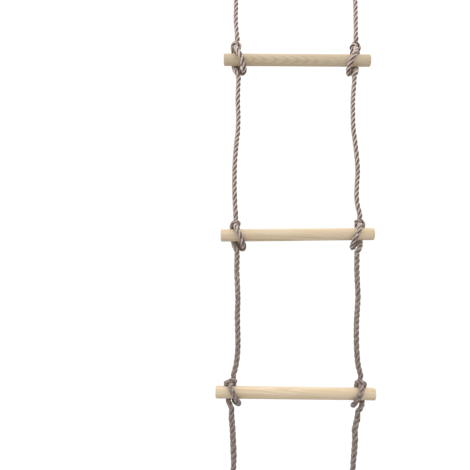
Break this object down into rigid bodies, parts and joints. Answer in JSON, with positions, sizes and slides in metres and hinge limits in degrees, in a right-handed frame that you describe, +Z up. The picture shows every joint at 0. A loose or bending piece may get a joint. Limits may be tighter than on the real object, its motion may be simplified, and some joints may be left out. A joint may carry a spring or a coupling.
{
  "type": "rope ladder",
  "caption": "Hanging rope ladder: turned wooden rungs in marlinspike hitches on two laid side ropes, hung from steel rings by thimble eyes.",
  "frame": {"origin": "midway between the tops of the two hanging rings", "axes": "+X along the rungs to the right, +Y to the back, +Z up along the hanging ropes"},
  "size_m": [0.3137, 0.0497, 1.112],
  "materials": {
    "rung_wood": "bare turned softwood, lightly sanded",
    "rope": "three-strand laid rope of mixed dark brown and pinkish beige yarns, fibrous",
    "galvanised_steel": "dull galvanised",
    "binding_twine": "waxed dark twine"
  },
  "bodies": {
    "root": {"ring_left": "galvanised_steel", "ring_right": "galvanised_steel"},
    "hanger": {"thimble_left": "galvanised_steel", "thimble_right": "galvanised_steel", "eye_left": "rope", "eye_right": "rope", "seizing_left": "binding_twine", "seizing_right": "binding_twine"},
    "top_rope_left": {"rope_top_left": "rope"},
    "top_rope_right": {"rope_top_right": "rope"},
    "top_rung": {"rung_top": "rung_wood", "knot_top_left": "rope", "knot_top_right": "rope"},
    "upper_fold": {"bend_upper_left": "rope", "bend_upper_right": "rope"},
    "upper_rope_left": {"rope_upper_left": "rope"},
    "upper_rope_right": {"rope_upper_right": "rope"},
    "middle_rung": {"rung_middle": "rung_wood", "knot_middle_left": "rope", "knot_middle_right": "rope"},
    "lower_fold": {"bend_lower_left": "rope", "bend_lower_right": "rope"},
    "lower_rope_left": {"rope_lower_left": "rope"},
    "lower_rope_right": {"rope_lower_right": "rope"},
    "bottom_rung": {"rung_bottom": "rung_wood", "knot_bottom_left": "rope", "knot_bottom_right": "rope"},
    "tail_fold_left": {"bend_tail_left": "rope"},
    "tail_rope_left": {"tail_left": "rope", "stopper_left": "rope", "whipping_left": "binding_twine"},
    "tail_fold_right": {"bend_tail_right": "rope"},
    "tail_rope_right": {"tail_right": "rope", "stopper_right": "rope", "whipping_right": "binding_twine"}
  },
  "joints": [
    {"name": "hang_swing", "type": "hinge", "parent": "root", "child": "hanger", "pos_m": [0, 0, -0.045], "axis": [1, 0, 0], "range_deg": [-80, 80]},
    {"name": "top_sway", "type": "hinge", "parent": "hanger", "child": "top_rope_left", "pos_m": [-0.124, -0.00515, -0.1267], "axis": [0, 1, 0], "range_deg": [-40, 40]},
    {"name": "top_sway_right", "type": "hinge", "parent": "hanger", "child": "top_rope_right", "pos_m": [0.1205, -0.00515, -0.1267], "axis": [0, 1, 0], "range_deg": [-40, 40]},
    {"name": "top_level", "type": "hinge", "parent": "top_rope_left", "child": "top_rung", "pos_m": [-0.1215, -0.00515, -0.213], "axis": [0, 1, 0], "range_deg": [-40, 40]},
    {"name": "upper_fold", "type": "hinge", "parent": "top_rung", "child": "upper_fold", "pos_m": [0, -0.00515, -0.305], "axis": [1, 0, 0], "range_deg": [-90, 90]},
    {"name": "upper_sway", "type": "hinge", "parent": "upper_fold", "child": "upper_rope_left", "pos_m": [-0.12, -0.00515, -0.329], "axis": [0, 1, 0], "range_deg": [-40, 40]},
    {"name": "upper_sway_right", "type": "hinge", "parent": "upper_fold", "child": "upper_rope_right", "pos_m": [0.1235, -0.00515, -0.329], "axis": [0, 1, 0], "range_deg": [-40, 40]},
    {"name": "upper_level", "type": "hinge", "parent": "upper_rope_left", "child": "middle_rung", "pos_m": [-0.1245, -0.00515, -0.5845], "axis": [0, 1, 0], "range_deg": [-40, 40]},
    {"name": "lower_fold", "type": "hinge", "parent": "middle_rung", "child": "lower_fold", "pos_m": [0, -0.00515, -0.6675], "axis": [1, 0, 0], "range_deg": [-90, 90]},
    {"name": "lower_sway", "type": "hinge", "parent": "lower_fold", "child": "lower_rope_left", "pos_m": [-0.1225, -0.00515, -0.6915], "axis": [0, 1, 0], "range_deg": [-40, 40]},
    {"name": "lower_sway_right", "type": "hinge", "parent": "lower_fold", "child": "lower_rope_right", "pos_m": [0.1175, -0.00515, -0.6915], "axis": [0, 1, 0], "range_deg": [-40, 40]},
    {"name": "lower_level", "type": "hinge", "parent": "lower_rope_left", "child": "bottom_rung", "pos_m": [-0.129, -0.00515, -0.8945], "axis": [0, 1, 0], "range_deg": [-40, 40]},
    {"name": "tail_swing_left", "type": "hinge", "parent": "bottom_rung", "child": "tail_fold_left", "pos_m": [-0.1325, -0.00515, -0.9695], "axis": [1, 0, 0], "range_deg": [-90, 90]},
    {"name": "tail_sway_left", "type": "hinge", "parent": "tail_fold_left", "child": "tail_rope_left", "pos_m": [-0.1305, -0.00515, -0.9935], "axis": [0, 1, 0], "range_deg": [-60, 60]},
    {"name": "tail_swing_right", "type": "hinge", "parent": "bottom_rung", "child": "tail_fold_right", "pos_m": [0.103, -0.00515, -0.9695], "axis": [1, 0, 0], "range_deg": [-90, 90]},
    {"name": "tail_sway_right", "type": "hinge", "parent": "tail_fold_right", "child": "tail_rope_right", "pos_m": [0.097, -0.00515, -0.9935], "axis": [0, 1, 0], "range_deg": [-60, 60]}
  ],
  "couplings": [
    {"joint": "top_sway_right", "follows": "top_sway", "ratio": 1},
    {"joint": "top_level", "follows": "top_sway", "ratio": -1},
    {"joint": "upper_sway_right", "follows": "upper_sway", "ratio": 1},
    {"joint": "upper_level", "follows": "upper_sway", "ratio": -1},
    {"joint": "lower_sway_right", "follows": "lower_sway", "ratio": 1},
    {"joint": "lower_level", "follows": "lower_sway", "ratio": -1}
  ]
}
